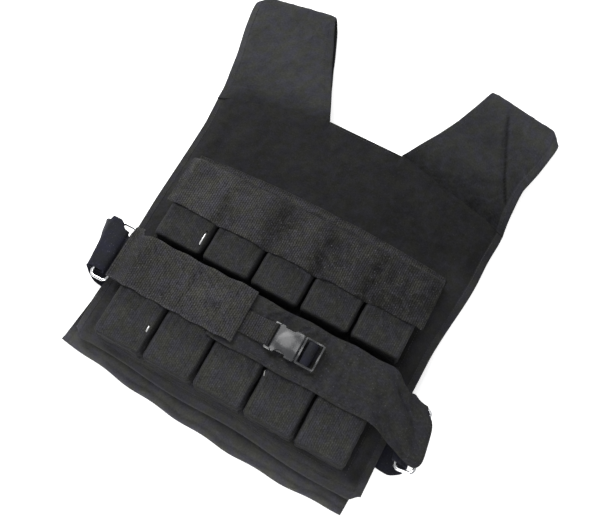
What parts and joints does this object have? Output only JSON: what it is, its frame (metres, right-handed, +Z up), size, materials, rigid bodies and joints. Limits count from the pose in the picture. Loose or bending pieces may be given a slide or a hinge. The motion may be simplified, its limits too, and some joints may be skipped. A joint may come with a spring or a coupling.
{
  "type": "weighted vest",
  "caption": "Padded canvas weighted vest lying front up, with weight pockets in two rows, a flap band, a waist belt on metal rings and a fastened side-release buckle.",
  "frame": {"origin": "middle of the footprint, on the surface that the vest lies on", "axes": "+X towards the viewer's right across the front, +Y from the hem to the shoulders, +Z up from the surface"},
  "size_m": [0.458, 0.55, 0.0703],
  "materials": {
    "body_canvas": "black canvas, matt",
    "strap_canvas": "black canvas, matt, a little worn",
    "pocket_canvas": "black canvas, matt",
    "belt_canvas": "black close-woven band, matt",
    "coarse_webbing": "black ribbed webbing with a slight sheen",
    "dark_webbing": "black webbing, matt",
    "weight_steel": "plain steel",
    "ring_metal": "bright nickel plate",
    "buckle_plastic": "moulded black plastic, glossy"
  },
  "bodies": {
    "root": {"front_panel": "body_canvas", "back_panel": "body_canvas", "shoulder_strap_left": "strap_canvas", "shoulder_strap_right": "strap_canvas", "upper_pocket_1": "pocket_canvas", "upper_pocket_2": "pocket_canvas", "upper_pocket_3": "pocket_canvas", "upper_pocket_4": "pocket_canvas", "upper_pocket_5": "pocket_canvas", "lower_pocket_1": "pocket_canvas", "lower_pocket_2": "pocket_canvas", "lower_pocket_3": "pocket_canvas", "lower_pocket_4": "pocket_canvas", "lower_pocket_5": "pocket_canvas", "upper_weight_1": "weight_steel", "upper_weight_2": "weight_steel", "upper_weight_3": "weight_steel", "upper_weight_4": "weight_steel", "upper_weight_5": "weight_steel", "lower_weight_1": "weight_steel", "lower_weight_2": "weight_steel", "lower_weight_3": "weight_steel", "lower_weight_4": "weight_steel", "lower_weight_5": "weight_steel", "pocket_flap": "coarse_webbing", "belt_left": "coarse_webbing", "belt_right": "belt_canvas", "back_belt": "dark_webbing", "ring_left": "ring_metal", "ring_right": "ring_metal", "buckle_female": "buckle_plastic", "buckle_male": "buckle_plastic", "buckle_webbing_left": "coarse_webbing", "buckle_webbing_right": "dark_webbing"}
  },
  "joints": []
}
